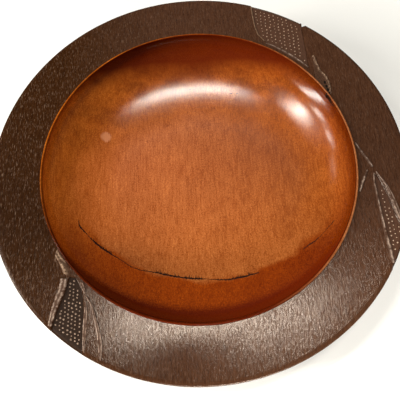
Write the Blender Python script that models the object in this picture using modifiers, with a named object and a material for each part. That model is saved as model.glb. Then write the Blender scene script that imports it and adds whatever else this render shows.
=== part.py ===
"""A wooden offering plate, 305 mm across.

A red-brown turned bowl carries a broad, dark rim. The rim is a separate ring, glued on a ledge below
the bowl's lip. Three stippled leaf panels are let into pockets in the rim, and slender twigs, ribs and
blades are glued on beside them. A felt disc sits in the hollow of the foot.

The origin is at the centre of the underside, +Z is up, and the plate's near side faces -Y.
"""

import bmesh
import bpy
from math import ceil, cos, hypot, pi, radians, sin, sqrt
from mathutils import Vector

MM = 0.001
GAP = 0.3 * MM                      # clearance left at every glued face
ROUND_STEPS = 64                    # facets round each turned piece

# Plate
PLATE_RADIUS = 152.5 * MM
RIM_TOP = 45.2 * MM
ROLL_START = 145.5 * MM             # the rim's face is dished out to here, then rolls over
DISH = 0.05                         # how much the face rises for each metre outward
EDGE_HEIGHT = 44.1 * MM             # height of the widest point

# Bowl
LIP_HEIGHT = 46.0 * MM
LIP_RADIUS = 116.0 * MM
MOUTH_RADIUS = 114.5 * MM
BOWL_DEPTH = 32.0 * MM
HOLLOW_POWER = 2.2                  # 2 is an ellipse, and more gives a flatter bottom
LEDGE_HEIGHT = 40.0 * MM
LEDGE_RADIUS = 124.0 * MM
FOOT_RADIUS = 54.0 * MM
FOOT_WIDTH = 7.0 * MM
FOOT_HEIGHT = 5.5 * MM
FOOT_CLEARANCE = 0.6 * MM           # the felt stands this far below the foot

# Felt
FELT_THICKNESS = 2.3 * MM

# Leaf panels
PANEL_DROP = 1.0 * MM               # a panel's face lies this far below the rim's face
PANEL_THICKNESS = 1.8 * MM
PANEL_BOTTOM = RIM_TOP - PANEL_DROP - PANEL_THICKNESS
POCKET_FLOOR = PANEL_BOTTOM - GAP

# Raised trim
TRIM_HEIGHT = 0.9 * MM


def clear_scene():
    for scene_object in list(bpy.data.objects):
        bpy.data.objects.remove(scene_object, do_unlink=True)


def new_collection(name):
    collection = bpy.data.collections.new(name)
    bpy.context.scene.collection.children.link(collection)
    return collection


def wood(name, colour, roughness):
    material = bpy.data.materials.new(name)
    material.use_nodes = True
    shader = material.node_tree.nodes["Principled BSDF"]
    shader.inputs["Base Color"].default_value = (*colour, 1)
    shader.inputs["Roughness"].default_value = roughness
    shader.inputs["Metallic"].default_value = 0
    material.diffuse_color = (*colour, 1)
    return material


def hide_cutter(cutter):
    cutter.hide_render = True
    cutter.display_type = "WIRE"


# Shared shapes ---------------------------------------------------------------------------------

def arc(radius, start, end, count):
    """Points on a circle round the plate's axis, from one angle in degrees to another."""
    angles = [radians(start + (end - start) * i / (count - 1)) for i in range(count)]
    return [(radius * cos(angle), radius * sin(angle)) for angle in angles]


def in_mm(points):
    return [(x * MM, y * MM) for x, y in points]


def hollow_height(radius):
    """Height of the bowl's inside face at a distance from the axis."""
    share = min(radius / MOUTH_RADIUS, 1)
    return LIP_HEIGHT - BOWL_DEPTH * (1 - share ** HOLLOW_POWER) ** (1 / HOLLOW_POWER)


def rim_height(radius):
    """Height of the rim's face: a slight dish, then a quarter ellipse down to the widest point."""
    share = max(radius - ROLL_START, 0) / (PLATE_RADIUS - ROLL_START)
    dish = DISH * max(ROLL_START - radius, 0)
    return EDGE_HEIGHT + (RIM_TOP - EDGE_HEIGHT) * sqrt(max(1 - share * share, 0)) - dish


def turned(name, profile, closed, collection):
    """Turn a profile of (radius, height) points, which runs down its outer side, round Z."""
    mesh = bpy.data.meshes.new(name)
    count = len(profile)
    edges = [(i, (i + 1) % count) for i in range(count if closed else count - 1)]
    mesh.from_pydata([(x, 0, z) for x, z in profile], edges, [])
    piece = bpy.data.objects.new(name, mesh)
    collection.objects.link(piece)
    screw = piece.modifiers.new("Turning", "SCREW")
    screw.steps = ROUND_STEPS
    screw.render_steps = ROUND_STEPS
    screw.use_merge_vertices = True
    screw.merge_threshold = 0.00001
    screw.use_smooth_shade = True
    return piece


def extruded(name, outline, low, high, collection):
    """A flat outline, filled and extruded between two heights, as a closed mesh."""
    curve = bpy.data.curves.new(name, "CURVE")
    curve.dimensions = "2D"
    curve.fill_mode = "BOTH"
    curve.extrude = (high - low) / 2
    spline = curve.splines.new("POLY")
    spline.points.add(len(outline) - 1)
    spline.use_cyclic_u = True
    for point, (x, y) in zip(spline.points, outline):
        point.co = (x, y, 0, 1)
    guide = bpy.data.objects.new(name + "_outline", curve)
    guide.location.z = (low + high) / 2
    collection.objects.link(guide)
    depsgraph = bpy.context.evaluated_depsgraph_get()
    mesh = bpy.data.meshes.new_from_object(guide.evaluated_get(depsgraph))
    shell = bmesh.new()
    shell.from_mesh(mesh)
    bmesh.ops.remove_doubles(shell, verts=shell.verts, dist=0.000001)
    bmesh.ops.recalc_face_normals(shell, faces=shell.faces)
    shell.to_mesh(mesh)
    shell.free()
    piece = bpy.data.objects.new(name, mesh)
    piece.matrix_world = guide.matrix_world
    bpy.data.objects.remove(guide)
    collection.objects.link(piece)
    return piece


def grown(outline, margin):
    """The outline moved outward by a margin, with mitred corners."""
    area = sum(x0 * y1 - x1 * y0 for (x0, y0), (x1, y1) in zip(outline, outline[1:] + outline[:1]))
    side = 1 if area > 0 else -1
    points = [Vector(point) for point in outline]
    moved = []
    for before, here, after in zip(points[-1:] + points[:-1], points, points[1:] + points[:1]):
        run_in = (here - before).normalized()
        run_out = (after - here).normalized()
        normal = Vector((run_in.y + run_out.y, -run_in.x - run_out.x)) * side
        moved.append(here + normal * (margin / (1 + run_in.dot(run_out))))
    return [(point.x, point.y) for point in moved]


def cut(piece, cutter, operation="DIFFERENCE"):
    boolean = piece.modifiers.new(cutter.name, "BOOLEAN")
    boolean.operation = operation
    boolean.object = cutter
    hide_cutter(cutter)


def smooth_line(points, step):
    """Points every step or so along a Catmull-Rom curve through (x, y, width) points."""
    knots = [Vector(point) for point in points]
    knots = [2 * knots[0] - knots[1]] + knots + [2 * knots[-1] - knots[-2]]
    line = []
    for a, b, c, d in zip(knots, knots[1:], knots[2:], knots[3:]):
        count = ceil((c - b).to_2d().length / step)
        for i in range(count):
            t = i / count
            line.append(((2 * b) + (c - a) * t + (2 * a - 5 * b + 4 * c - d) * t ** 2
                         + (3 * b - a - 3 * c + d) * t ** 3) / 2)
    return line + [knots[-2]]


# Turned pieces ---------------------------------------------------------------------------------

def make_bowl(parts):
    points = 14
    inside_radii = [MOUTH_RADIUS * sin(pi / 2 * i / (points - 1)) for i in range(points)]
    inside = [(radius, hollow_height(radius)) for radius in inside_radii]
    bead = (LIP_RADIUS - MOUTH_RADIUS) / 2
    inside[-1] = (MOUTH_RADIUS, LIP_HEIGHT - bead)
    lip = [(MOUTH_RADIUS + bead * 0.4, LIP_HEIGHT - bead * 0.2), (MOUTH_RADIUS + bead, LIP_HEIGHT),
           (LIP_RADIUS - bead * 0.4, LIP_HEIGHT - bead * 0.2), (LIP_RADIUS, LIP_HEIGHT - bead)]
    ledge = [(LIP_RADIUS, LEDGE_HEIGHT), (LEDGE_RADIUS, LEDGE_HEIGHT)]
    outside_mm = [(124, 35.4), (117, 31.6), (108, 25.6), (98, 18.8), (86, 12.4), (72, 8.0), (60, 6.3)]
    recess_radius = FOOT_RADIUS - FOOT_WIDTH
    recess_height = FELT_THICKNESS + GAP
    cove = 1.5 * MM
    foot = [(FOOT_RADIUS + cove, FOOT_HEIGHT), (FOOT_RADIUS, FOOT_HEIGHT - cove),
            (FOOT_RADIUS, FOOT_CLEARANCE), (recess_radius, FOOT_CLEARANCE),
            (recess_radius, recess_height), (0, recess_height)]
    profile = inside + lip + ledge + in_mm(outside_mm) + foot
    return turned("bowl", profile, False, parts)


def make_rim(parts, cutters, pockets):
    inner = LIP_RADIUS + GAP
    rebate = LEDGE_RADIUS + GAP
    roll_width = PLATE_RADIUS - ROLL_START
    roll_radii = [ROLL_START + roll_width * sin(pi / 2 * i / 4) for i in range(5)]
    face = [(inner, rim_height(inner))] + [(radius, rim_height(radius)) for radius in roll_radii]
    underside_mm = [(152.0, 42.4), (150.2, 41.0), (147, 40.3), (135, 38.4), (128, 36.7)]
    joint = [(rebate, 35.4 * MM), (rebate, LEDGE_HEIGHT + GAP), (inner, LEDGE_HEIGHT + GAP)]
    rim = turned("rim", face + in_mm(underside_mm) + joint, True, parts)
    for name, outline in pockets:
        pocket = extruded(name, grown(outline, GAP), POCKET_FLOOR, RIM_TOP + 5 * MM, cutters)
        cut(rim, pocket)
    notch_outline = in_mm([(91.4, 116.6), (94.8, 119.4), (97, 125), (90, 125)])
    cut(rim, extruded("edge_notch", notch_outline, 30 * MM, 50 * MM, cutters))
    return rim


def make_felt(parts):
    radius = FOOT_RADIUS - FOOT_WIDTH - GAP
    return turned("felt_pad", [(0, FELT_THICKNESS), (radius, FELT_THICKNESS), (radius, 0), (0, 0)],
                  False, parts)


# Leaf panels -----------------------------------------------------------------------------------

def leaf_outlines():
    """Outlines run past the plate's edge, where the turned panel blank ends them."""
    inner_margin = arc(122, 59.6, 40.8, 7)
    upper = [(52.6, 150), (53.3, 133), (54.2, 122), (56, 113.5)] + inner_margin
    upper += [(92.4, 92), (91.6, 117), (91, 135)]
    right = [(127.2, -18.5), (128.6, -20.5), (130.6, -26.5), (132.2, -33), (133.3, -41), (134.8, -49),
             (136.6, -56), (138.4, -62), (146, -70), (146, -100), (126.4, -100), (126.4, -24)]
    lower = [(-90.9, -79.8), (-93, -88), (-95.6, -96), (-97.8, -102), (-99.6, -108), (-103, -122),
             (-103, -140), (-80.6, -140), (-80.8, -105), (-81.4, -95), (-82.8, -88.5), (-87, -80.4)]
    return {"leaf_upper": in_mm(upper), "leaf_right": in_mm(right), "leaf_lower": in_mm(lower)}


def make_leaf(name, outline, parts, cutters):
    """A ring as thick as the panel, kept only inside the leaf's outline."""
    edge = PLATE_RADIUS - 0.7 * MM
    radii = [LIP_RADIUS + GAP, ROLL_START, (ROLL_START + edge) / 2, edge - 1 * MM]
    face = [(radius, rim_height(radius) - PANEL_DROP) for radius in radii]
    profile = face + [(edge, rim_height(edge) - PANEL_DROP - 0.6 * MM), (edge, PANEL_BOTTOM),
                      (LIP_RADIUS + GAP, PANEL_BOTTOM)]
    leaf = turned(name, profile, True, parts)
    cut(leaf, extruded(name + "_shape", outline, 30 * MM, 50 * MM, cutters), "INTERSECT")
    return leaf


# Raised trim -----------------------------------------------------------------------------------

def make_strip(name, points_mm, parts):
    """A strip with a domed section along (x, y, width) points, lying just above the rim's face."""
    line = smooth_line([(x * MM, y * MM, width * MM) for x, y, width in points_mm], 2.5 * MM)
    section_points = 7
    full_height_width = 1.2 * MM
    body = bmesh.new()
    rings = []
    for i, here in enumerate(line):
        ahead = line[min(i + 1, len(line) - 1)] - line[max(i - 1, 0)]
        across = Vector((-ahead.y, ahead.x, 0)).normalized()
        base = Vector((here.x, here.y, rim_height(hypot(here.x, here.y)) + GAP))
        height = TRIM_HEIGHT * min(here.z / full_height_width, 1)
        ring = []
        for k in range(section_points):
            angle = pi * k / (section_points - 1)
            offset = across * (here.z / 2 * cos(angle)) + Vector((0, 0, height * sin(angle)))
            ring.append(body.verts.new(base + offset))
        rings.append(ring)
    for ring, following in zip(rings, rings[1:]):
        for k in range(section_points):
            m = (k + 1) % section_points
            body.faces.new((ring[k], ring[m], following[m], following[k]))
    body.faces.new(rings[0])
    body.faces.new(rings[-1])
    bmesh.ops.recalc_face_normals(body, faces=body.faces)
    mesh = bpy.data.meshes.new(name)
    body.to_mesh(mesh)
    body.free()
    strip = bpy.data.objects.new(name, mesh)
    parts.objects.link(strip)
    return strip


def strip_lines():
    """Centre lines and widths of the trim strips, in millimetres."""
    rib_widths = [0.8, 1.6, 2.2, 2.4, 2.2, 1.8, 1.2]
    upper_arc = arc(120.4, 59.5, 40.2, 7)
    return {
        "rib_upper": [(x, y, width) for (x, y), width in zip(upper_arc, rib_widths)],
        "twig_right": [(117.2, 8.2, 1.6), (120.6, 0.4, 1.8), (123.6, -6, 2), (126.1, -12, 1.8)],
        "twig_right_side": [(121.8, -14.4, 1.4), (118, -21.4, 2.6), (113.6, -30.4, 1.8)],
        "rib_right": [(126.2, -17, 1), (125, -24, 1.6), (125, -45, 1.9), (125.4, -62, 2.6), (125.8, -76, 3),
                      (126, -83, 2)],
        "blade_right": [(128, -16, 0.8), (132.4, -26, 1.6), (134.6, -34, 2.6), (136, -42, 3.2),
                        (137.2, -50, 2.8), (138.6, -60, 0.6)],
        "twig_lower": [(-94.4, -80.6, 4.8), (-95.6, -88, 4.6), (-99.2, -98.6, 3.9), (-101.8, -111, 2.4)],
        "stem_lower": [(-82.8, -83.6, 2), (-81.4, -87.2, 2.2), (-79.9, -91, 1.5)],
        "blade_lower_mid": [(-79.2, -96.4, 1), (-78.9, -105, 2.5), (-79, -117, 2.9), (-78.9, -128.4, 0.8)],
        "blade_lower_side": [(-79.2, -92.6, 1), (-75.4, -99, 1.6), (-72.8, -107.3, 2), (-70.3, -116.2, 2.8),
                             (-68.8, -125, 3.4), (-68.3, -133.6, 0.6)],
    }


def bark_outlines():
    """Two thin pieces with a natural edge, which lie against the bowl's lip."""
    near_lip = LIP_RADIUS / MM + 1
    knot = [(98.2, 88.6), (96.8, 88.2), (96.6, 80), (96.4, 71.4)] + arc(near_lip, 34, 25.8, 4)
    knot += [(106.8, 53), (107, 58), (106.6, 63.6), (105, 69.3), (101.4, 73.8), (100, 80.4)]
    lower = arc(near_lip, -149.4, -141, 4)
    lower += [(-91, -77.4), (-93, -78.4), (-95.4, -77), (-97, -73.2), (-99.2, -68.6), (-102, -63.6)]
    return {"bark_upper": in_mm(knot), "bark_lower": in_mm(lower)}


def make_bark(name, outline, parts, cutters):
    """A thin ring that follows the rim's face, kept only inside the piece's outline."""
    inner, outer = LIP_RADIUS + GAP, ROLL_START
    low_inner, low_outer = rim_height(inner) + GAP, rim_height(outer) + GAP
    profile = [(inner, low_inner + TRIM_HEIGHT), (outer, low_outer + TRIM_HEIGHT), (outer, low_outer),
               (inner, low_inner)]
    bark = turned(name, profile, True, parts)
    cut(bark, extruded(name + "_shape", outline, 30 * MM, 50 * MM, cutters), "INTERSECT")
    return bark


def main():
    clear_scene()
    parts = new_collection("offering_plate")
    cutters = new_collection("cutters")
    mahogany = wood("mahogany", (0.33, 0.1, 0.025), 0.3)
    ebonised = wood("ebonised_wood", (0.075, 0.042, 0.028), 0.5)
    carved = wood("carved_wood", (0.09, 0.05, 0.03), 0.6)
    bark = wood("bark", (0.2, 0.13, 0.085), 0.8)
    felt = wood("felt", (0.02, 0.06, 0.035), 1.0)

    leaves = leaf_outlines()
    make_bowl(parts).data.materials.append(mahogany)
    pockets = [(name + "_pocket", outline) for name, outline in leaves.items()]
    make_rim(parts, cutters, pockets).data.materials.append(ebonised)
    make_felt(parts).data.materials.append(felt)
    for name, outline in leaves.items():
        make_leaf(name, outline, parts, cutters).data.materials.append(carved)
    for name, points in strip_lines().items():
        make_strip(name, points, parts).data.materials.append(carved)
    for name, outline in bark_outlines().items():
        make_bark(name, outline, parts, cutters).data.materials.append(bark)


main()
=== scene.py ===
"""The looks of the wooden offering plate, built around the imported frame.

Every piece repeats the CAD's shape at a finer scale: the turned bowl with its lip and foot, the dark rim
with its carved pockets, the stippled leaf panels, the trim strips, the two natural-edge pieces and the
felt. Lengths are in millimetres and are turned into metres where a mesh is made.
"""

import random
from math import atan2, ceil, cos, exp, hypot, pi, radians, sin, tan

import bmesh
import bpy
import numpy as np
from mathutils import Matrix, Vector, noise


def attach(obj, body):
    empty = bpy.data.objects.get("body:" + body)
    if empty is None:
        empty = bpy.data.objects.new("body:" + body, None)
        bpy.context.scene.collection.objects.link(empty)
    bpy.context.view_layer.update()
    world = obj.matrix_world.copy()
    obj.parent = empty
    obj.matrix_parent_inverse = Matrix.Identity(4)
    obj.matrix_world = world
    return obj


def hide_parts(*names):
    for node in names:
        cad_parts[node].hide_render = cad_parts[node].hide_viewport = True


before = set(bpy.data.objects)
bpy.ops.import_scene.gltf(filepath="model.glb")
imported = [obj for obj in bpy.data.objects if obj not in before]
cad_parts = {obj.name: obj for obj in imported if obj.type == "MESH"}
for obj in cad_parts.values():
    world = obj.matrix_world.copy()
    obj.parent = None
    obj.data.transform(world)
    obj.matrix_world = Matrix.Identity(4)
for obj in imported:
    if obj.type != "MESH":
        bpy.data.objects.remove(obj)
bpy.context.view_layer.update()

MM = 0.001

# Driving dimensions, all as in the CAD but for ROLL_START
PLATE_RADIUS = 152.5
RIM_TOP = 45.2
ROLL_START = 149.5                  # the CAD rounds from 145.5, with the same heights at both ends
EDGE_HEIGHT = 44.1                  # height of the widest point
LIP_HEIGHT = 46.0
LIP_RADIUS = 116.0
MOUTH_RADIUS = 114.5
BOWL_DEPTH = 32.0
HOLLOW_POWER = 2.2
LEDGE_HEIGHT = 40.0
LEDGE_RADIUS = 124.0
FOOT_RADIUS = 54.0
FOOT_WIDTH = 7.0
FOOT_HEIGHT = 5.5
FOOT_CLEARANCE = 0.6
FELT_THICKNESS = 2.3
FELT_GAP = 0.3
JOINT_RADIUS = 124.3                # where the rim's underside meets the bowl's outside
JOINT_HEIGHT = 35.4
RIM_TUCK = 0.5                      # the rim runs this far under the bowl's lip
PANEL_DROP = 1.0                    # a leaf's ground lies this far below the rim's face
POCKET_DROP = 1.6                   # and a pocket's floor this far, out of sight below the ground
PANEL_BOTTOM = 42.4
PANEL_EDGE = 151.8
DISH = 0.05                         # the rim's face rises this much for each mm outward


# Heights and distances ---------------------------------------------------------------------------

def hollow_height(radius):
    share = np.clip(np.asarray(radius, float) / MOUTH_RADIUS, 0, 1)
    return LIP_HEIGHT - BOWL_DEPTH * (1 - share ** HOLLOW_POWER) ** (1 / HOLLOW_POWER)


def rim_height(radius):
    """The rim's face: a slight dish towards the lip and a quarter ellipse at the edge."""
    radius = np.asarray(radius, float)
    share = np.clip((radius - ROLL_START) / (PLATE_RADIUS - ROLL_START), 0, 1)
    dish = DISH * np.maximum(ROLL_START - radius, 0)
    return EDGE_HEIGHT + (RIM_TOP - EDGE_HEIGHT) * np.sqrt(1 - share * share) - dish


def smooth_step(low, high, value):
    t = np.clip((value - low) / (high - low), 0, 1)
    return t * t * (3 - 2 * t)


def arc(radius, start, end, count):
    angles = [radians(start + (end - start) * i / (count - 1)) for i in range(count)]
    return [(radius * cos(angle), radius * sin(angle)) for angle in angles]


def segment_distance(x, y, a, b):
    ex, ey = b[0] - a[0], b[1] - a[1]
    along = np.clip(((x - a[0]) * ex + (y - a[1]) * ey) / (ex * ex + ey * ey), 0, 1)
    return np.hypot(x - a[0] - along * ex, y - a[1] - along * ey)


def line_distance(x, y, line):
    return np.min([segment_distance(x, y, a, b) for a, b in zip(line, line[1:])], axis=0)


def outline_distance(x, y, outline):
    """Distance to a closed outline, negative inside it."""
    loop = outline + outline[:1]
    inside = np.zeros(np.shape(x), bool)
    for (x0, y0), (x1, y1) in zip(loop, loop[1:]):
        if y0 != y1:
            inside ^= ((y0 > y) != (y1 > y)) & (x < x0 + (y - y0) * (x1 - x0) / (y1 - y0))
    nearest = line_distance(x, y, loop)
    return np.where(inside, -nearest, nearest)


def smooth_line(points, step):
    """Points every step or so along a Catmull-Rom curve through points of any length."""
    knots = [np.array(point, float) for point in points]
    knots = [2 * knots[0] - knots[1]] + knots + [2 * knots[-1] - knots[-2]]
    line = []
    for a, b, c, d in zip(knots, knots[1:], knots[2:], knots[3:]):
        count = max(ceil(np.hypot(*(c - b)[:2]) / step), 1)
        for i in range(count):
            t = i / count
            line.append((2 * b + (c - a) * t + (2 * a - 5 * b + 4 * c - d) * t ** 2
                         + (3 * b - a - 3 * c + d) * t ** 3) / 2)
    return line + [knots[-2]]


def wobble(x, y, size, seed):
    """Smooth noise from -1 to 1 with features of a given size in mm, for single points."""
    return noise.noise(Vector((x / size, y / size, seed * 7.3)))


# Outlines ----------------------------------------------------------------------------------------

UPPER_LEAF = ([(52.6, 150), (53.3, 133), (54.2, 122), (56, 113.5)] + arc(122, 59.6, 40.8, 7)
              + [(92.4, 92), (91.6, 117), (91, 135)])
RIGHT_LEAF = [(127.2, -18.5), (128.6, -20.5), (130.6, -26.5), (132.2, -33), (133.3, -41), (134.8, -49),
              (136.6, -56), (138.4, -62), (146, -70), (146, -100), (126.4, -100), (126.4, -24)]
LOWER_LEAF = [(-90.9, -79.8), (-93, -88), (-95.6, -96), (-97.8, -102), (-99.6, -108), (-103, -122),
              (-103, -140), (-80.6, -140), (-80.8, -105), (-81.4, -95), (-82.8, -88.5), (-87, -80.4)]
LEAVES = {"leaf_upper": UPPER_LEAF, "leaf_right": RIGHT_LEAF, "leaf_lower": LOWER_LEAF}

UPPER_RIB_WIDTHS = [0.8, 1.6, 2.2, 2.4, 2.2, 1.8, 1.2]
UPPER_RIB = [(x, y, width) for (x, y), width in zip(arc(120.4, 59.5, 40.2, 7), UPPER_RIB_WIDTHS)]
STRIPS = {                          # each point with the strip's width
    "rib_upper": UPPER_RIB,
    "twig_right": [(117.2, 8.2, 1.6), (120.6, 0.4, 1.8), (123.6, -6, 2), (126.1, -12, 1.8)],
    "twig_right_side": [(121.8, -14.4, 1.4), (118, -21.4, 2.6), (113.6, -30.4, 1.8)],
    "rib_right": [(126.2, -17, 1), (125, -24, 1.6), (125, -45, 1.9), (125.4, -62, 2.6), (125.8, -76, 3),
                  (126, -83, 2)],
    "blade_right": [(128, -16, 0.8), (132.4, -26, 1.6), (134.6, -34, 2.6), (136, -42, 3.2),
                    (137.2, -50, 2.8), (138.6, -60, 0.6)],
    "twig_lower": [(-94.4, -80.6, 4.8), (-95.6, -88, 4.6), (-99.2, -98.6, 3.9), (-101.8, -111, 2.4)],
    "stem_lower": [(-82.8, -83.6, 2), (-81.4, -87.2, 2.2), (-79.9, -91, 1.5)],
    "blade_lower_mid": [(-79.2, -96.4, 1), (-78.9, -105, 2.5), (-79, -117, 2.9), (-78.9, -128.4, 0.8)],
    "blade_lower_side": [(-79.2, -92.6, 1), (-75.4, -99, 1.6), (-72.8, -107.3, 2), (-70.3, -116.2, 2.8),
                         (-68.8, -125, 3.4), (-68.3, -133.6, 0.6)],
}
TWIGS = {"twig_right", "twig_right_side", "twig_lower", "rib_right"}        # the rough ones
ONE_LINE = {"twig_right", "twig_right_side", "rib_right", "rib_upper"}      # pale along the crest only, a painted highlight with some wear

NEAR_LIP = LIP_RADIUS + 0.4
BARK = {
    "bark_upper": [(98.2, 88.6), (96.8, 88.2), (96.6, 80), (96.4, 71.4)] + arc(NEAR_LIP, 34, 25.8, 4)
    + [(106.8, 53), (107, 58), (106.6, 63.6), (105, 69.3), (101.4, 73.8), (100, 80.4)],
    "bark_lower": arc(NEAR_LIP, -149.4, -141, 4)
    + [(-91, -77.4), (-93, -78.4), (-95.4, -77), (-97, -73.2), (-99.2, -68.6), (-102, -63.6)],
}
BARK_CRESTS = {
    "bark_upper": [[(97.6, 88), (99.4, 80.2), (100.8, 73.6), (104.4, 68.8), (106, 63.4), (106.4, 55.6),
                    (106, 51)]],
    "bark_lower": [[(-101.5, -60.5), (-98.8, -62.8), (-97.4, -66), (-94.6, -68.2)],
                   [(-99.4, -60.4), (-97.2, -63.4)],
                   [(-100.4, -65.2), (-99, -67)],
                   [(-97.6, -69.6), (-95.6, -71.6), (-94.6, -73.6), (-93.6, -76.6)]],
}
CREST_WIDTHS = {"bark_upper": 0.75, "bark_lower": 1.25}
# each knot's pit is painted near black: dark knot wood with painted shade
KNOTS = [(103.2, 62.6, 0.9), (104, 59, 0.9), (104.6, 55.6, 1.1), (105.2, 52.4, 0.8)]    # and radius

# Marks in the bowl: each point of a crack has the crack's width, and each speck its half length
RING_CRACK = [(-91.6, -34, 0.3), (-90.3, -39, 1.0), (-87.4, -42.6, 0.4), (-81.4, -49.4, 1.0),
              (-75.6, -54.8, 1.3), (-66.9, -61.1, 0.9), (-59.7, -65.8, 0.4), (-53.2, -70.6, 0.5),
              (-47.4, -73.1, 0.5), (-40.3, -74.8, 0.5), (-35.3, -75.8, 0.9), (-28.9, -77.6, 1.1),
              (-20.3, -79.7, 1.2), (-10.3, -81.5, 1.3), (-1.7, -82.3, 1.2), (5.5, -83.2, 0.3),
              (11.8, -83.9, 0.8), (18.2, -84, 1.0), (24, -83.1, 1.1), (31.2, -82, 1.2),
              (38.5, -80.4, 0.5)]
SIDE_CRACK = [(71.2, -66.5, 0.2), (75.1, -63.9, 0.8), (80.2, -61.2, 0.6), (84.9, -57.7, 0.2),
              (90.5, -52.4, 0.25), (95.8, -47.4, 0.6)]
LIP_CHECK = [(102, 51.6, 0.6), (103.9, 47.7, 0.5), (105.5, 43.9, 0.35), (107, 40.1, 0.15)]
SPECKS = [(-3.3, 78.8, 0.8), (0.1, 78.6, 0.6), (31, 72.4, 0.9), (36, 71.7, 0.8)]
# a painted reflection, drawn as a small pale spot on the floor
REFLECTION_SPOT = (-73.7, 37.3)

CARVED_SECTORS = [(36, 71), (-34, 6), (-152, -115)]     # degrees of the rim that hold carving
BEAD_LAYOUTS = {                    # column spacing, row spacing, margin, scatter and bead radius
    "leaf_upper": (3.5, 3.3, 1.6, 0.5, 0.46),
    "leaf_right": (2.9, 3.1, 1.6, 0.4, 0.5),
    "leaf_lower": (2.5, 2.5, 1.5, 0.4, 0.62),
}


# Meshes ------------------------------------------------------------------------------------------

def height_map(x, y, height_at):
    """Run a function of one point over two grids of coordinates."""
    return np.array([[height_at(a, b) for a, b in zip(row_x, row_y)] for row_x, row_y in zip(x, y)])


def new_piece(name, mesh, material_list, replaced=()):
    piece = bpy.data.objects.new(name, mesh)
    bpy.context.scene.collection.objects.link(piece)
    for material in material_list:
        mesh.materials.append(material)
    mesh.shade_smooth()
    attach(piece, "root")
    if replaced:
        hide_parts(*replaced)
    return piece


def ring_mesh(name, x, y, z, close_rows):
    """A mesh from arrays of shape (angles, profile points), closed round the axis."""
    turns, count = x.shape
    verts = np.stack([x, y, z], -1).reshape(-1, 3) * MM
    i, k = np.meshgrid(np.arange(turns), np.arange(count if close_rows else count - 1), indexing="ij")
    j, m = (i + 1) % turns, (k + 1) % count
    faces = np.stack([i * count + k, i * count + m, j * count + m, j * count + k], -1).reshape(-1, 4)
    mesh = bpy.data.meshes.new(name)
    mesh.from_pydata(verts.tolist(), [], faces.tolist())
    return mesh


def fill_ends(mesh):
    """Close the small holes that a turned profile leaves round the axis."""
    shell = bmesh.new()
    shell.from_mesh(mesh)
    bmesh.ops.holes_fill(shell, edges=shell.edges, sides=0)
    shell.to_mesh(mesh)
    shell.free()


def paint(mesh, name, values):
    """Store one number for each vertex, for a material to read."""
    attribute = mesh.attributes.new(name, "FLOAT", "POINT")
    attribute.data.foreach_set("value", np.asarray(values, np.float32).ravel())


def make_bowl(material):
    """The turned bowl as one profile: inside, lip, ledge, outside and foot."""
    turns = 288
    lip_steps = 12
    inside = [(radius, float(hollow_height(radius)))
              for radius in MOUTH_RADIUS * np.sin(np.linspace(0.004, pi / 2, 64))]
    bead = (LIP_RADIUS - MOUTH_RADIUS) / 2
    inside = [point for point in inside if point[1] < LIP_HEIGHT - bead]
    middle = (LIP_RADIUS + MOUTH_RADIUS) / 2
    lip = [(middle - bead * cos(pi * i / lip_steps), LIP_HEIGHT - bead + bead * sin(pi * i / lip_steps))
           for i in range(lip_steps + 1)]
    ledge = [(LIP_RADIUS, LEDGE_HEIGHT), (LEDGE_RADIUS, LEDGE_HEIGHT)]
    outside = smooth_line([(LEDGE_RADIUS, JOINT_HEIGHT), (117, 31.6), (108, 25.6), (98, 18.8),
                           (86, 12.4), (72, 8.0), (60, 6.3), (FOOT_RADIUS + 1.5, FOOT_HEIGHT)], 1.5)
    recess = FOOT_RADIUS - FOOT_WIDTH
    soft = 0.7                       # the foot's corners are rounded by this much
    foot = [(FOOT_RADIUS + 0.4, FOOT_HEIGHT - 0.5), (FOOT_RADIUS, FOOT_HEIGHT - 1.5),
            (FOOT_RADIUS, FOOT_CLEARANCE + soft), (FOOT_RADIUS - 0.2, FOOT_CLEARANCE + 0.2),
            (FOOT_RADIUS - soft, FOOT_CLEARANCE), (recess + soft, FOOT_CLEARANCE),
            (recess + 0.2, FOOT_CLEARANCE + 0.2), (recess, FOOT_CLEARANCE + soft),
            (recess, FELT_THICKNESS + FELT_GAP), (0.4, FELT_THICKNESS + FELT_GAP)]
    profile = np.array(inside + lip + ledge + [tuple(point) for point in outside] + foot)
    angle = np.linspace(0, 2 * pi, turns, endpoint=False)[:, None]
    mesh = ring_mesh("bowl_wood", profile[:, 0] * np.cos(angle), profile[:, 0] * np.sin(angle),
                     np.broadcast_to(profile[:, 1], (turns, len(profile))), False)
    fill_ends(mesh)
    return new_piece("turned_bowl", mesh, [material], ["bowl"])


def carved_drop(x, y):
    """How far the rim's face is cut away at each point, in mm, for the leaves' pockets."""
    drop = np.zeros(np.shape(x))
    for outline in LEAVES.values():
        inside = smooth_step(0.35, -0.1, outline_distance(x, y, outline))
        drop = np.maximum(drop, inside * POCKET_DROP)
    return drop


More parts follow.
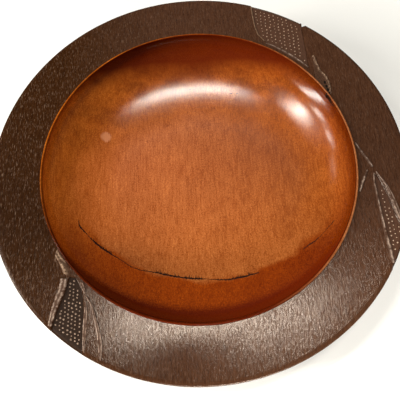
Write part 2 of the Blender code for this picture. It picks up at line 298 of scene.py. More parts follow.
def make_rim(material):
    """The turned ring with its pockets cut in, a notch in its edge, wear with a painted highlight along
    the upper leaf's lit border, and painted shade round the pockets.
    """
    fine, coarse = 0.16, 1.25       # degrees between profiles, inside and outside the carved sectors
    angles, angle = [], -180.0
    while angle < 180 - 1e-6:
        angles.append(angle)
        in_carving = any(low <= angle < high for low, high in CARVED_SECTORS)
        angle += fine if in_carving else coarse
    angle = np.radians(angles)[:, None]
    roll = (PLATE_RADIUS - ROLL_START) * np.sin(np.linspace(0, pi / 2, 18))
    face_radii = np.concatenate([np.arange(LIP_RADIUS - RIM_TUCK, ROLL_START, 0.45), ROLL_START + roll])
    under = smooth_line([(152.45, 43.4), (152.0, 42.4), (150.2, 41.0), (147, 40.3), (135, 38.4),
                         (128, 36.7), (JOINT_RADIUS, JOINT_HEIGHT)], 1.2)
    joint = [(LEDGE_RADIUS + 0.1, JOINT_HEIGHT), (LEDGE_RADIUS + 0.1, LEDGE_HEIGHT),
             (LIP_RADIUS - RIM_TUCK, LEDGE_HEIGHT)]
    radius = np.concatenate([face_radii, [point[0] for point in under], [point[0] for point in joint]])
    height = np.concatenate([rim_height(face_radii), [point[1] for point in under],
                             [point[1] for point in joint]])
    radius = np.broadcast_to(radius, (len(angles), len(radius)))
    notch_angle, notch_half, notch_depth, notch_start = 51.9, 0.75, 2.8, 146
    notch = np.clip(1 - abs(np.degrees(angle) - notch_angle) / notch_half, 0, 1) * notch_depth
    radius = radius - notch * smooth_step(notch_start, PLATE_RADIUS, radius)
    x, y = radius * np.cos(angle), radius * np.sin(angle)
    height = np.broadcast_to(height, radius.shape).copy()
    top = len(face_radii)
    face_x, face_y = x[:, :top], y[:, :top]
    height[:, :top] -= carved_drop(face_x, face_y)
    mesh = ring_mesh("rim_wood", x, y, height, True)
    lit_side = face_x < 60         # only the upper leaf's left border, the lit side, gets wear and a painted highlight
    edge_wear_and_highlight = np.zeros(radius.shape)
    distance = outline_distance(face_x, face_y, UPPER_LEAF)
    edge_wear_and_highlight[:, :top] = smooth_step(0.9, 0.2, abs(distance - 0.4)) * lit_side
    paint(mesh, "wear_and_highlight", edge_wear_and_highlight)
    # painted shade: darker along each pocket's border
    recess_shade = np.zeros(radius.shape)
    for outline in LEAVES.values():
        recess_shade[:, :top] += smooth_step(0.7, 0.1, abs(outline_distance(face_x, face_y, outline)))
    paint(mesh, "recess_shade", recess_shade * (1 - edge_wear_and_highlight))
    return new_piece("turned_rim", mesh, [material], ["rim"])


def bead_spots(name, outline):
    """Places for the raised beads: staggered rows inside the outline, each a little off its place."""
    across, along, margin, scatter, size = BEAD_LAYOUTS[name]
    edge_margin = 2.6
    draw = random.Random(name)
    spots = []
    xs, ys = [point[0] for point in outline], [point[1] for point in outline]
    column = 0
    x = min(xs)
    while x < max(xs):
        y = min(ys) + (column % 2) * along / 2
        while y < max(ys):
            px, py = x + draw.uniform(-scatter, scatter), y + draw.uniform(-scatter, scatter)
            grow = draw.uniform(0.72, 1.15)
            inside = outline_distance(np.array([px]), np.array([py]), outline)[0] < -margin
            if inside and hypot(px, py) < PANEL_EDGE - edge_margin:
                spots.append((px, py, size * grow))
            y += along
        x += across
        column += 1
    return spots


def make_leaf(name, outline, ground, bead_highlight_material):
    """A panel with its ground, and a raised bead at each spot."""
    tuck = 0.7                       # the panel runs this far under the pocket's walls
    step = 0.5
    middle_radius = 135
    xs, ys = [point[0] for point in outline], [point[1] for point in outline]
    centre = atan2(sum(ys) / len(ys), sum(xs) / len(xs))
    spread = radians(24)
    angles = np.arange(centre - spread, centre + spread, step / middle_radius)
    radii = np.append(np.arange(LIP_RADIUS + 0.6, PANEL_EDGE - 0.3, step), PANEL_EDGE)
    angle, radius = np.meshgrid(angles, radii, indexing="ij")
    x, y = radius * np.cos(angle), radius * np.sin(angle)
    z = rim_height(radius) - PANEL_DROP - 0.5 * smooth_step(150.6, PANEL_EDGE, radius)
    z += height_map(x, y, lambda a, b: 0.06 * wobble(a, b, 1.6, 1) + 0.08 * wobble(a, b, 6, 2))
    keep = outline_distance(x, y, outline) < tuck
    body = bmesh.new()
    grid = {}
    for i in range(len(angles)):
        for k in range(len(radii)):
            if keep[i, k]:
                grid[i, k] = body.verts.new(Vector((x[i, k], y[i, k], z[i, k])) * MM)
    for i, k in list(grid):
        corners = [(i, k), (i, k + 1), (i + 1, k + 1), (i + 1, k)]
        if all(corner in grid for corner in corners):
            body.faces.new([grid[corner] for corner in corners])
    loose = [vert for vert in body.verts if not vert.link_faces]
    bmesh.ops.delete(body, geom=loose, context="VERTS")
    made = bmesh.ops.extrude_face_region(body, geom=body.faces[:])
    top = set(body.verts) - {item for item in made["geom"] if isinstance(item, bmesh.types.BMVert)}
    for vert in top:
        vert.co.z = PANEL_BOTTOM * MM
    bmesh.ops.recalc_face_normals(body, faces=body.faces)
    for px, py, size in bead_spots(name, outline):
        base = float(rim_height(hypot(px, py))) - PANEL_DROP
        place = Matrix.Translation(Vector((px, py, base + 0.05)) * MM) @ Matrix.Diagonal((1, 1, 0.75, 1))
        ball = bmesh.ops.create_icosphere(body, subdivisions=2, radius=size * MM, matrix=place)
        for face in {face for vert in ball["verts"] for face in vert.link_faces}:
            face.material_index = 1
    mesh = bpy.data.meshes.new(name)
    body.to_mesh(mesh)
    body.free()
    return new_piece(name + "_carving", mesh, [ground, bead_highlight_material], [name])


def make_strip(name, points, material):
    """A ridge that grows out of the rim's face: pale along its edges with wear and a painted highlight,
    rough where it is a twig.
    """
    rough = 0.4 if name in TWIGS else 0.12
    section = 13                     # points across the strip
    full_height, sunk, groove = 1.25, 0.35, 0.3
    line = smooth_line(points, 0.45)
    x, y, z, wear_and_highlight = [], [], [], []
    for i, (px, py, width) in enumerate(line):
        ahead = line[min(i + 1, len(line) - 1)][:2] - line[max(i - 1, 0)][:2]
        ax, ay = -ahead[1], ahead[0]
        length = hypot(ax, ay)
        ax, ay = ax / length, ay / length
        tall = full_height * min(width / 1.4, 1)
        for k in range(section):
            turn = pi * k / (section - 1)
            side = width / 2 * cos(turn) * (1 + rough * wobble(px + k, py, 1.3, 3))
            up = tall * sin(turn) ** 0.7 * (1 + rough * wobble(px, py + 1.7 * k, 0.9, 4))
            if width > 1.8 and name not in ONE_LINE:
                up -= groove * exp(-(cos(turn) / 0.35) ** 2)
            qx, qy = px + ax * side, py + ay * side
            x.append(qx)
            y.append(qy)
            z.append(float(rim_height(min(hypot(qx, qy), PLATE_RADIUS))) - sunk + up)
            # the pale patches along the edges, and along the crest for the ONE_LINE strips, are wear
            # with a painted highlight
            seed = 8 if cos(turn) > 0 or name in ONE_LINE else 12
            patch = 0.62 + 1.1 * wobble(px, py, 3.4, seed) + 0.8 * wobble(px, py, 1.1, seed + 1)
            drift = 0.3 * wobble(px, py, 2.2, seed + 2)
            if name in ONE_LINE:
                off_line = (cos(turn) - drift) / 0.4
            else:
                off_line = (abs(cos(turn)) - 0.6 - drift) / 0.28
            wear_and_highlight.append(min(max(0, patch), 1) * exp(-off_line ** 2))
    count = len(line)
    verts = [(a * MM, b * MM, c * MM) for a, b, c in zip(x, y, z)]
    faces = [(i * section + k, i * section + (k + 1) % section,
              (i + 1) * section + (k + 1) % section, (i + 1) * section + k)
             for i in range(count - 1) for k in range(section)]
    faces += [tuple(range(section)), tuple((count - 1) * section + k for k in range(section))]
    mesh = bpy.data.meshes.new(name)
    mesh.from_pydata(verts, [], faces)
    fix = bmesh.new()
    fix.from_mesh(mesh)
    bmesh.ops.recalc_face_normals(fix, faces=fix.faces)
    fix.to_mesh(mesh)
    fix.free()
    paint(mesh, "wear_and_highlight", wear_and_highlight)
    return new_piece(name + "_carving", mesh, [material], [name])


def make_bark(name, outline, material):
    """A rough natural piece: a height field with a torn crest and knots, sunk round its outline."""
    step = 0.35
    border = 1.5
    sunk, skirt = 0.45, 4.2
    xs, ys = [point[0] for point in outline], [point[1] for point in outline]
    x, y = np.meshgrid(np.arange(min(xs) - border, max(xs) + border, step),
                       np.arange(min(ys) - border, max(ys) + border, step), indexing="ij")
    rough = height_map(x, y, lambda a, b: 0.45 * wobble(a, b, 2.6, 5) + 0.4 * wobble(a, b, 1.1, 6))
    inside = smooth_step(0.6, -0.7, outline_distance(x, y, outline) + rough)
    inside *= smooth_step(LIP_RADIUS + 0.1, LIP_RADIUS + 0.6, np.hypot(x, y))
    ragged_x, ragged_y = x + 2 * rough, y - 1.4 * rough
    crest = np.max([np.exp(-(line_distance(ragged_x, ragged_y, line) / CREST_WIDTHS[name]) ** 2)
                    for line in BARK_CRESTS[name]], axis=0)
    pits = np.zeros(x.shape)
    for px, py, size in KNOTS:
        pits = np.maximum(pits, np.exp(-(((x - px) / size) ** 2 + ((y - py) / (size * 1.6)) ** 2) ** 2))
    raised = inside * (0.75 + 0.8 * crest * (1 + rough) + rough * 0.5)
    raised = np.where(inside > 0.8, np.maximum(raised - 0.9 * pits, 0.5), raised)
    z = np.minimum(rim_height(np.hypot(x, y)) - sunk + raised, RIM_TOP + 1.1)
    count_x, count_y = x.shape
    verts = np.stack([x, y, z], -1).reshape(-1, 3) * MM
    faces = [(i * count_y + k, (i + 1) * count_y + k, (i + 1) * count_y + k + 1, i * count_y + k + 1)
             for i in range(count_x - 1) for k in range(count_y - 1)
             if max(inside[i, k], inside[i + 1, k], inside[i + 1, k + 1], inside[i, k + 1]) > 0]
    mesh = bpy.data.meshes.new(name)
    mesh.from_pydata(verts.tolist(), [], faces)
    # the crest's pale paint is wear with a painted highlight, and the pits get painted shade
    paint(mesh, "wear_and_highlight", np.clip(crest * (0.7 + rough), 0, 1))
    paint(mesh, "pit_shade", pits)
    fix = bmesh.new()
    fix.from_mesh(mesh)
    bmesh.ops.delete(fix, geom=[vert for vert in fix.verts if not vert.link_faces], context="VERTS")
    made = bmesh.ops.extrude_face_region(fix, geom=fix.faces[:])
    kept = {item for item in made["geom"] if isinstance(item, bmesh.types.BMVert)}
    for vert in fix.verts:
        if vert not in kept:
            vert.co.z = (RIM_TOP - skirt) * MM
    bmesh.ops.recalc_face_normals(fix, faces=fix.faces)
    fix.to_mesh(mesh)
    fix.free()
    return new_piece(name + "_carving", mesh, [material], [name])


def make_marks(material):
    """The crack filled with dark resin, its short ticks, the check below the lip and a few specks."""
    body = bmesh.new()
    draw = random.Random(5)
    sunk = 0.25
    widen = 1.5                      # the resin spreads past the crack it fills
    shares = (0, 0.35, 0.7, 1)       # how far up a tick its points lie

    def surface(x, y, raised):
        return Vector((x, y, float(hollow_height(hypot(x, y))) + raised)) * MM

    def sliver(line, widths, raised=0.09):
        """A thin closed strip that lies on the bowl's inside, sunk at its sides."""
        rows = []
        for i, point in enumerate(line):
            ahead = line[min(i + 1, len(line) - 1)] - line[max(i - 1, 0)]
            out = np.array([ahead[1], -ahead[0]]) / hypot(*ahead)
            half = widths[i] / 2
            rows.append([body.verts.new(surface(*(point + out * half * side), height))
                         for side, height in ((-1, -sunk), (-0.6, raised), (0.6, raised), (1, -sunk))])
        for a, b in zip(rows, rows[1:]):
            for k in range(4):
                body.faces.new([a[k], a[(k + 1) % 4], b[(k + 1) % 4], b[k]])
        body.faces.new(rows[0])
        body.faces.new(rows[-1])

    def crack(points):
        line = smooth_line([point[:2] for point in points], 0.7)
        steps = np.linspace(0, len(points) - 1, len(line))
        widths = np.interp(steps, range(len(points)), [point[2] for point in points])
        line = [point + np.array([0, draw.uniform(-0.22, 0.22)]) for point in line]
        sliver(line, [max(widen * width * draw.uniform(0.6, 1.3), 0.2) for width in widths])
        for point, width in zip(line, widths):
            if width > 0.85 and draw.random() < 0.62:
                tall = draw.uniform(0.9, 3.0)
                tick = [point + np.array([draw.uniform(-0.2, 0.2), tall * share]) for share in shares]
                sliver(tick, [0.8, 0.6, 0.4, 0.1])

    for points in (RING_CRACK, SIDE_CRACK, LIP_CHECK):
        crack(points)
    for x, y, size in SPECKS:
        speck = [np.array([x - size, y]), np.array([x, y + 0.1]), np.array([x + size, y])]
        sliver(speck, [0.2, size * 1.6, 0.2])
    bmesh.ops.recalc_face_normals(body, faces=body.faces)
    mesh = bpy.data.meshes.new("marks")
    body.to_mesh(mesh)
    body.free()
    return new_piece("crack_fill", mesh, [material], [])


def make_felt(material):
    """The felt disc with soft edges, in the hollow of the foot."""
    turns = 160
    radius = FOOT_RADIUS - FOOT_WIDTH - FELT_GAP
    profile = np.array([(0.4, FELT_THICKNESS), (radius - 0.4, FELT_THICKNESS),
                        (radius, FELT_THICKNESS - 0.5), (radius, 0.6), (radius - 0.25, 0.15),
                        (radius - 0.8, 0), (0.4, 0)])
    angle = np.linspace(0, 2 * pi, turns, endpoint=False)[:, None]
    mesh = ring_mesh("felt", profile[:, 0] * np.cos(angle), profile[:, 0] * np.sin(angle),
                     np.broadcast_to(profile[:, 1], (turns, len(profile))), False)
    fill_ends(mesh)
    return new_piece("felt_disc", mesh, [material], ["felt_pad"])


# Materials ---------------------------------------------------------------------------------------

def add(tree, kind, inputs=None, **settings):
    node = tree.nodes.new("ShaderNode" + kind)
    for name, value in settings.items():
        setattr(node, name, value)
    for key, value in (inputs or {}).items():
        if isinstance(value, bpy.types.NodeSocket):
            tree.links.new(value, node.inputs[key])
        else:
            node.inputs[key].default_value = value
    return node


def calc(tree, operation, a, b=0.0):
    return add(tree, "Math", {0: a, 1: b}, operation=operation).outputs[0]


def remap(tree, value, low, high, to_low=0.0, to_high=1.0):
    return add(tree, "MapRange", {"Value": value, "From Min": low, "From Max": high,
                                  "To Min": to_low, "To Max": to_high}).outputs[0]


def mix(tree, factor, a, b, blend="MIX"):
    node = add(tree, "Mix", {0: factor}, data_type="RGBA", blend_type=blend)
    for socket, value in ((node.inputs[6], a), (node.inputs[7], b)):
        if isinstance(value, bpy.types.NodeSocket):
            tree.links.new(value, socket)
        else:
            socket.default_value = (*value, 1)
    return node.outputs[2]


def stretched(tree, scale):
    """Object coordinates in mm, scaled along each axis."""
    coordinates = add(tree, "TexCoord").outputs["Object"]
    factors = tuple(factor / MM for factor in scale)
    return add(tree, "VectorMath", {0: coordinates, 1: factors}, operation="MULTIPLY").outputs[0]


def product(tree, a, b):
    return calc(tree, "MULTIPLY", a, b)


def attribute(tree, name):
    """A number painted on the mesh."""
    return add(tree, "Attribute", attribute_name=name).outputs["Fac"]


def noise_value(tree, scale, detail, rough):
    """Noise whose features are 1/scale mm along each axis."""
    node = add(tree, "TexNoise", {"Vector": stretched(tree, scale), "Scale": 1.0, "Detail": detail,
                                  "Roughness": rough})
    return node.outputs[0]


def new_material(name):
    material = bpy.data.materials.new(name)
    material.use_nodes = True
    tree = material.node_tree
    return material, tree, tree.nodes["Principled BSDF"]


def bump(tree, shader, height, distance):
    """Raise the surface by distance mm where height is 1."""
    node = add(tree, "Bump", {"Height": height, "Distance": distance * MM, "Strength": 1.0})
    tree.links.new(node.outputs[0], shader.inputs["Normal"])


def place_in_mm(tree):
    """The X, Y and Z of a point on the plate, in mm."""
    return add(tree, "SeparateXYZ", {0: stretched(tree, (1, 1, 1))}).outputs


def ellipse_reach(tree, centre, half_sizes):
    """0 at the centre of an upright ellipse, 1 on its line, more outside."""
    x, y, _ = place_in_mm(tree)
    across = calc(tree, "DIVIDE", calc(tree, "SUBTRACT", x, centre[0]), half_sizes[0])
    along = calc(tree, "DIVIDE", calc(tree, "SUBTRACT", y, centre[1]), half_sizes[1])
    squares = calc(tree, "ADD", product(tree, across, across), product(tree, along, along))
    return calc(tree, "SQRT", squares)


def wall_share(tree, clouds):
    """0 on the bowl's floor and 1 on its walls, with a crisper border on the near side."""
    _, y, _ = place_in_mm(tree)
    ragged = remap(tree, clouds, 0.2, 0.8, -0.05, 0.05)
    reach = calc(tree, "ADD", ellipse_reach(tree, (5, -10), (98, 76)), ragged)
    near_side = remap(tree, y, -30, -60)
    crisp = product(tree, remap(tree, reach, 0.95, 1.0), near_side)
    soft = product(tree, remap(tree, reach, 0.72, 1.12), calc(tree, "SUBTRACT", 1.0, near_side))
    return calc(tree, "ADD", crisp, soft)


def bowl_tones(tree, on_wall, clouds):
    """The wood's colour before its grain, with painted light: paler to the left and on the left wall,
    the near floor mixed towards a lit tone, and the far wall stained.
    """
    x, y, z = place_in_mm(tree)
    side = remap(tree, x, -100, 90)
    # painted light: paler to the left, and mixed towards a lit tone on the near side
    floor_tone = mix(tree, side, (0.72, 0.222, 0.062), (0.30, 0.080, 0.015))
    floor_tone = mix(tree, remap(tree, y, 10, -80, 0, 0.5), floor_tone, (0.62, 0.205, 0.044))
    # the walls' change from left to right is painted light as well
    rising = remap(tree, z, 26, 42)
    left_wall = mix(tree, rising, (0.54, 0.145, 0.016), (1.0, 0.29, 0.026))
    right_wall = mix(tree, rising, (0.60, 0.165, 0.024), (0.32, 0.058, 0.003))
    stain = product(tree, remap(tree, clouds, 0.42, 0.62), remap(tree, y, 20, 80, 0.1, 0.6))
    far_wall = mix(tree, stain, mix(tree, side, left_wall, right_wall), (0.17, 0.036, 0.006))
    near_wall = mix(tree, side, (0.62, 0.115, 0.005), (0.20, 0.028, 0.001))
    wall_tone = mix(tree, remap(tree, y, -20, -70), far_wall, near_wall)
    wood = mix(tree, on_wall, floor_tone, wall_tone)
    high_right = product(tree, remap(tree, z, 34, 42), remap(tree, x, 84, 106, 0, 0.85))
    return mix(tree, high_right, wood, (0.15, 0.024, 0.002))


def lip_tones(tree, lip, wood):
    """Painted shade darkens the lip, most on the near side, and a painted highlight makes its top pale
    on the right.
    """
    x, y, z = place_in_mm(tree)
    lip_shade_share = product(tree, lip, remap(tree, y, 40, -60, 0.4, 1))
    lip_highlight_share = product(tree, remap(tree, z, 45.3, 45.8), remap(tree, x, 40, 95, 0, 0.5))
    return mix(tree, lip_highlight_share, mix(tree, lip_shade_share, wood, (0.09, 0.014, 0.002)), (0.80, 0.34, 0.14))


def bowl_grain(tree, wood, streaks, mottle):
    """Broad bands, a faint ring figure, streaks, pores and a fine mottle over the wood's colour."""
    bands = noise_value(tree, (0.05, 0.008, 0.05), 3, 0.5)
    pores = noise_value(tree, (2.4, 0.45, 2.4), 2, 0.6)
    figure = noise_value(tree, (0.022, 0.009, 0.022), 2, 0.4)
    ring_phase = calc(tree, "ADD", product(tree, figure, 95), product(tree, mottle, 4))
    rings = calc(tree, "SINE", ring_phase)
    layers = (
        (remap(tree, bands, 0.4, 0.65, 0, 0.35), (0.7, 0.62, 0.55)),
        (remap(tree, rings, -0.2, 1, 0, 0.3), (0.72, 0.6, 0.48)),
        (remap(tree, streaks, 0.4, 0.65, 0, 0.95), (0.74, 0.62, 0.5)),
        (remap(tree, pores, 0.55, 0.72, 0, 0.6), (0.5, 0.36, 0.28)),
        (remap(tree, mottle, 0.38, 0.6, 0, 1), (0.60, 0.50, 0.40)),
    )
    for share, factor in layers:
        wood = mix(tree, share, wood, factor, "MULTIPLY")
    return wood


def end_grain_share(tree, normal, mottle):
    """1 where the bowl faces along the grain, on its far and near walls."""
    lean = calc(tree, "ADD", normal[1], remap(tree, mottle, 0.3, 0.7, -0.04, 0.04))
    sideways = product(tree, calc(tree, "ABSOLUTE", normal[0]), 0.45)
    far_end = remap(tree, calc(tree, "ADD", lean, sideways), -0.22, -0.46, 0, 0.93)
    near_end = remap(tree, lean, 0.46, 0.58, 0, 0.93)
    return calc(tree, "MAXIMUM", far_end, near_end)


def reflection_spot_share(tree, normal, streaks):
    """A painted reflection: a small ragged pale spot on the bowl's floor, and not on the underside below
    it.
    """
    ragged = remap(tree, streaks, 0.3, 0.7, -0.2, 0.2)
    reach = calc(tree, "ADD", ellipse_reach(tree, REFLECTION_SPOT, (4, 4.4)), ragged)
    return product(tree, remap(tree, reach, 1.1, 0.75, 0, 0.6), remap(tree, normal[2], 0, 0.3))


def bowl_material():
    """Polished wood with its grain along Y: a hazy floor, golden walls and dark red end grain."""
    material, tree, shader = new_material("polished_mahogany")
    streaks = noise_value(tree, (0.9, 0.07, 0.9), 4, 0.6)
    mottle = noise_value(tree, (1.4, 0.9, 1.4), 4, 0.75)
    clouds = noise_value(tree, (0.035, 0.05, 0.035), 3, 0.6)
    normal = add(tree, "SeparateXYZ", {0: add(tree, "NewGeometry").outputs["Normal"]}).outputs
    lip = remap(tree, place_in_mm(tree)[2], 43.5, 45.2)
    on_wall = wall_share(tree, clouds)
    end_grain = end_grain_share(tree, normal, mottle)

    wood = lip_tones(tree, lip, bowl_tones(tree, on_wall, clouds))
    end_tone = mix(tree, remap(tree, mottle, 0.35, 0.65), (0.13, 0.013, 0.002), (0.085, 0.007, 0.001))
    coloured = mix(tree, end_grain, bowl_grain(tree, wood, streaks, mottle), end_tone)
    # the painted reflection spot
    with_reflection_spot = mix(tree, reflection_spot_share(tree, normal, streaks), coloured, (0.62, 0.25, 0.12))
    tree.links.new(with_reflection_spot, shader.inputs["Base Color"])

    polish = remap(tree, on_wall, 0.05, 0.5, 0.22, 0.12)
    roughness = calc(tree, "ADD", polish, remap(tree, mottle, 0.3, 0.7, -0.03, 0.05))
    tree.links.new(roughness, shader.inputs["Roughness"])
    gloss = product(tree, remap(tree, on_wall, 0.3, 1, 0.23, 0.31), remap(tree, end_grain, 0, 1, 1, 0.5))
    sheen = product(tree, gloss, remap(tree, lip, 0.5, 0.9, 1, 0.08))
    tree.links.new(sheen, shader.inputs["Specular IOR Level"])
    bump(tree, shader, mix(tree, 0.5, streaks, mottle), 0.05)
    return material


def rim_sheen(tree, grain):
    """How glossy the rim is: less at the left, in a patch at the near edge, and at the right."""
    x, _, _ = place_in_mm(tree)
    sheen = product(tree, remap(tree, x, -94, -50, 0.08, 0.48), remap(tree, grain, 0.38, 0.62, 0.3, 1.7))
    dull_patch = remap(tree, ellipse_reach(tree, (-25, -144), (60, 17)), 0.5, 1.1, 0.5, 1)
    return product(tree, sheen, product(tree, dull_patch, remap(tree, x, 70, 94, 1, 0.62)))


def rim_material():
    """Dark stained wood: streaks along Y, darker towards the left, with painted glints, painted shade
    round the pockets, and pale wear with a painted highlight along a lit edge.
    """
    material, tree, shader = new_material("dark_rim_wood")
    streaks = noise_value(tree, (1.0, 0.12, 1.0), 4, 0.65)
    pores = noise_value(tree, (2.0, 0.6, 2.0), 3, 0.65)
    grain = noise_value(tree, (1.5, 0.28, 1.5), 3, 0.6)
    clouds = noise_value(tree, (0.05, 0.03, 0.05), 3, 0.5)
    glint_specks = noise_value(tree, (2.8, 0.26, 2.8), 2, 0.5)
    side = remap(tree, calc(tree, "ADD", place_in_mm(tree)[0], product(tree, clouds, 40)), -90, 10)
    stained = mix(tree, side, (0.046, 0.016, 0.005), (0.080, 0.032, 0.015))
    grained = mix(tree, remap(tree, streaks, 0.35, 0.7, 0, 0.9), stained, (0.45, 0.4, 0.38), "MULTIPLY")
    open_pores = mix(tree, remap(tree, pores, 0.52, 0.7, 0, 0.8), grained, (0.35, 0.32, 0.3), "MULTIPLY")
    # pale painted glints along the grain, more where the rim is less glossy
    glint_share = product(tree, remap(tree, glint_specks, 0.6, 0.7), remap(tree, side, 0.0, 0.8, 0.55, 0.2))
    glinted = mix(tree, glint_share, open_pores, (0.30, 0.19, 0.13))
    # painted shade along the pockets' borders
    recess_shaded = mix(tree, product(tree, attribute(tree, "recess_shade"), 0.8), glinted, (0.018, 0.007, 0.003))
    wear_and_highlight = product(tree, attribute(tree, "wear_and_highlight"), remap(tree, pores, 0.4, 0.6, 0.2, 0.9))
    tree.links.new(mix(tree, wear_and_highlight, recess_shaded, (0.42, 0.26, 0.16)), shader.inputs["Base Color"])
    tree.links.new(remap(tree, grain, 0.3, 0.7, 0.13, 0.23), shader.inputs["Roughness"])
    tree.links.new(rim_sheen(tree, grain), shader.inputs["Specular IOR Level"])
    shader.inputs["Specular Tint"].default_value = (1, 0.86, 0.77, 1)
    bump(tree, shader, mix(tree, 0.55, streaks, grain), 0.2)
    return material


def carved_material(name, dark, pale, roughness):
    """Dark grained wood, pale where its painted wear and highlight say so."""
    material, tree, shader = new_material(name)
    grain = noise_value(tree, (1.6, 0.3, 1.6), 4, 0.6)
    grit = noise_value(tree, (2.8, 2.2, 2.8), 3, 0.6)
    share = product(tree, attribute(tree, "wear_and_highlight"), remap(tree, grit, 0.35, 0.6, 0.25, 1.0))
    ground = mix(tree, remap(tree, grain, 0.35, 0.65), dark, tuple(value * 0.6 for value in dark))
    tree.links.new(mix(tree, share, ground, pale), shader.inputs["Base Color"])
    uneven = remap(tree, grit, 0.3, 0.7, roughness - 0.1, roughness + 0.1)
    tree.links.new(uneven, shader.inputs["Roughness"])
    shader.inputs["Specular IOR Level"].default_value = 0.12
    bump(tree, shader, mix(tree, 0.5, grain, grit), 0.15)
    return material


def bead_highlight_material(name, dim, pale):
    """A painted highlight for the beads, a little uneven."""
    material, tree, shader = new_material(name)
    grit = noise_value(tree, (2.5, 2.5, 2.5), 2, 0.5)
    tree.links.new(mix(tree, remap(tree, grit, 0.35, 0.65), dim, pale),
                   shader.inputs["Base Color"])
    shader.inputs["Roughness"].default_value = 0.35
    shader.inputs["Specular IOR Level"].default_value = 0.25
    bump(tree, shader, grit, 0.05)
    return material


def bark_material():
    """Rim-coloured wood with a torn crest, pale with wear and a painted highlight, and dark knots with
    painted shade in their pits.
    """
    material, tree, shader = new_material("natural_edge")
    grit = noise_value(tree, (1.3, 0.8, 1.3), 4, 0.65)
    flakes = noise_value(tree, (0.8, 0.6, 0.8), 3, 0.6)
    ground = mix(tree, remap(tree, grit, 0.35, 0.65), (0.085, 0.038, 0.021), (0.045, 0.020, 0.010))
    crest = product(tree, attribute(tree, "wear_and_highlight"), remap(tree, flakes, 0.38, 0.58, 0.15, 1.0))
    tone = mix(tree, crest, ground, (0.44, 0.29, 0.19))
    knotted = mix(tree, remap(tree, attribute(tree, "pit_shade"), 0.25, 0.6), tone, (0.006, 0.003, 0.002))
    tree.links.new(knotted, shader.inputs["Base Color"])
    tree.links.new(remap(tree, grit, 0.3, 0.7, 0.4, 0.65), shader.inputs["Roughness"])
    shader.inputs["Specular IOR Level"].default_value = 0.08
    bump(tree, shader, grit, 0.4)
    return material


def mark_material():
    """Dark resin, a little uneven."""
    material, tree, shader = new_material("dark_resin")
    grit = noise_value(tree, (1.2, 1.2, 1.2), 3, 0.6)
    tree.links.new(mix(tree, remap(tree, grit, 0.3, 0.7), (0.030, 0.008, 0.003), (0.008, 0.003, 0.002)),
                   shader.inputs["Base Color"])
    tree.links.new(remap(tree, grit, 0.3, 0.7, 0.45, 0.6), shader.inputs["Roughness"])
    shader.inputs["Specular IOR Level"].default_value = 0.08
    bump(tree, shader, grit, 0.1)
    return material


def felt_material():
    """Short green fibres with faint clumps."""
    material, tree, shader = new_material("green_felt")
    fibres = noise_value(tree, (1.8, 1.8, 1.8), 5, 0.7)
    clumps = noise_value(tree, (0.2, 0.2, 0.2), 2, 0.5)
    tone = mix(tree, remap(tree, fibres, 0.35, 0.65), (0.012, 0.045, 0.024), (0.03, 0.085, 0.05))
    tree.links.new(mix(tree, remap(tree, clumps, 0.4, 0.6, 0, 0.4), tone, (0.02, 0.055, 0.03)),
                   shader.inputs["Base Color"])
    shader.inputs["Roughness"].default_value = 0.95
    shader.inputs["Sheen Weight"].default_value = 0.5
    shader.inputs["Sheen Roughness"].default_value = 0.5
    bump(tree, shader, fibres, 0.3)
    return material


# Stage -------------------------------------------------------------------------------------------

def make_camera():
    """The photograph's view: from above, a little in front of the plate, tipped by a few degrees."""
    data = bpy.data.cameras.new("view")
    data.lens = 38.7
    data.sensor_width = 36
    camera = bpy.data.objects.new("view", data)
    below_horizon = 69.67
    tilt, yaw, roll = radians(90 - below_horizon), radians(0.148), radians(-3.463)
    turn = Matrix.Rotation(yaw, 4, "Z") @ Matrix.Rotation(tilt, 4, "X") @ Matrix.Rotation(roll, 4, "Z")
    camera.matrix_world = Matrix.Translation((0, -136.4 * MM, 331.2 * MM)) @ turn
    bpy.context.scene.collection.objects.link(camera)
    bpy.context.scene.camera = camera


AIM = Vector((0, 0, 0.03))          # the point that every light faces, in metres
WARM_WHITE = (1, 0.97, 0.88)


def plain_material(name, colour, roughness):
    material, tree, shader = new_material(name)
    shader.inputs["Base Color"].default_value = (*colour, 1)
    shader.inputs["Roughness"].default_value = roughness
    return material


def make_floor():
    bpy.ops.mesh.primitive_plane_add(size=12, location=(0, 0, -0.2 * MM))
    floor = bpy.context.object
    floor.name = "floor"
    floor.data.materials.append(plain_material("pale_floor", (0.85, 0.85, 0.85), 0.9))


def make_light(name, direction, height, size, radiance, turn=0.0):
    """A rectangular light aimed at the plate.

    direction is its angles off the vertical along X and Y, and turn its own turn, all in degrees. The
    height and the size are in metres.
    """
    data = bpy.data.lights.new(name, "AREA")
    data.shape = "RECTANGLE"
    data.size, data.size_y = size
    data.energy = radiance * pi * size[0] * size[1]
    data.color = WARM_WHITE
    light = bpy.data.objects.new(name, data)
    place = Vector((tan(radians(direction[0])), tan(radians(direction[1])), 1)) * height
    facing = (place - AIM).normalized()
    across = Vector((0, 1, 0)).cross(facing).normalized()
    axes = Matrix((across, facing.cross(across), facing)).transposed().to_4x4()
    light.matrix_world = Matrix.Translation(place) @ axes @ Matrix.Rotation(radians(turn), 4, "Z")
    bpy.context.scene.collection.objects.link(light)


def make_shade(name, place_mm, size_mm, upright=False):
    """A dark card that the camera doesn't see, to keep a light off part of the plate."""
    bpy.ops.mesh.primitive_plane_add(size=1, location=[value * MM for value in place_mm])
    card = bpy.context.object
    card.name = name
    card.scale = (size_mm[0] * MM, size_mm[1] * MM, 1)
    card.rotation_euler.x = radians(90) if upright else 0
    card.visible_camera = False
    card.data.materials.append(plain_material(name + "_black", (0.01, 0.01, 0.01), 0.9))


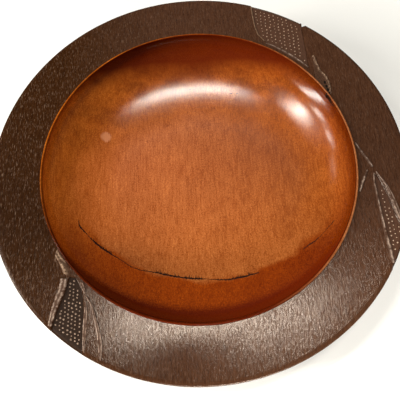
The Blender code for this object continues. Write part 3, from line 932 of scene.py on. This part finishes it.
def make_lights():
    """Three ceiling lamps, two more behind them, low windows at the left and front, and a faint glow."""
    make_light("ceiling_lamp", (0.3, 8.4), 3.8, (0.95, 0.15), 92, 4)
    make_light("ceiling_lamp_left", (-25, 8.8), 3.8, (0.95, 0.26), 80, 24)
    make_light("ceiling_lamp_far_left", (-46, 6.2), 3.8, (0.9, 0.34), 40)
    make_light("back_lamp_left", (-46.3, 20.9), 3.8, (0.5, 0.3), 48)
    make_light("back_lamp_far", (-40, 31.6), 3.8, (0.4, 0.4), 10)
    make_light("window", (-66.3, -19.5), 0.8, (1.6, 0.2), 44)
    make_light("front_window", (12, -63), 1.0, (1.3, 0.3), 55)
    make_light("ceiling_glow", (-38, 10.5), 3.5, (3.0, 1.4), 1.5)
    world = bpy.data.worlds.new("room")
    world.use_nodes = True
    world.node_tree.nodes["Background"].inputs["Color"].default_value = (1, 1, 1, 1)
    world.node_tree.nodes["Background"].inputs["Strength"].default_value = 0.1
    bpy.context.scene.world = world
    bpy.context.scene.view_settings.view_transform = "Standard"


# The model ---------------------------------------------------------------------------------------

make_camera()
make_floor()
make_shade("phone_shade", (-18, -144, 338), (64, 148))
make_shade("arm_shade", (-265, -22, 400), (160, 140))
make_shade("front_shade", (30, -250, 240), (500, 200), upright=True)
make_lights()

make_bowl(bowl_material())
make_rim(rim_material())
# The bead colours are painted highlights; the lower leaf's darker ground and dimmer beads are painted
# shade.
leaf_wear_and_highlight = (0.2, 0.11, 0.065)
shaded_ground = carved_material("leaf_ground_shaded", (0.026, 0.011, 0.005), leaf_wear_and_highlight, 0.5)
brown_ground = carved_material("leaf_ground_brown", (0.092, 0.040, 0.022), leaf_wear_and_highlight, 0.5)
shaded_bead_highlight = bead_highlight_material("bead_highlight_shaded", (0.10, 0.055, 0.035), (0.42, 0.29, 0.21))
lit_bead_highlight = bead_highlight_material("bead_highlight_lit", (0.3, 0.19, 0.13), (0.62, 0.44, 0.32))
for leaf_name, leaf_outline in LEAVES.items():
    if leaf_name == "leaf_lower":
        make_leaf(leaf_name, leaf_outline, shaded_ground, shaded_bead_highlight)
    else:
        make_leaf(leaf_name, leaf_outline, brown_ground, lit_bead_highlight)
strip_wood = carved_material("trim_wood", (0.085, 0.038, 0.021), (0.52, 0.38, 0.3), 0.42)
for strip_name, strip_points in STRIPS.items():
    make_strip(strip_name, strip_points, strip_wood)
bark = bark_material()
for bark_name, bark_outline in BARK.items():
    make_bark(bark_name, bark_outline, bark)
make_felt(felt_material())
make_marks(mark_material())
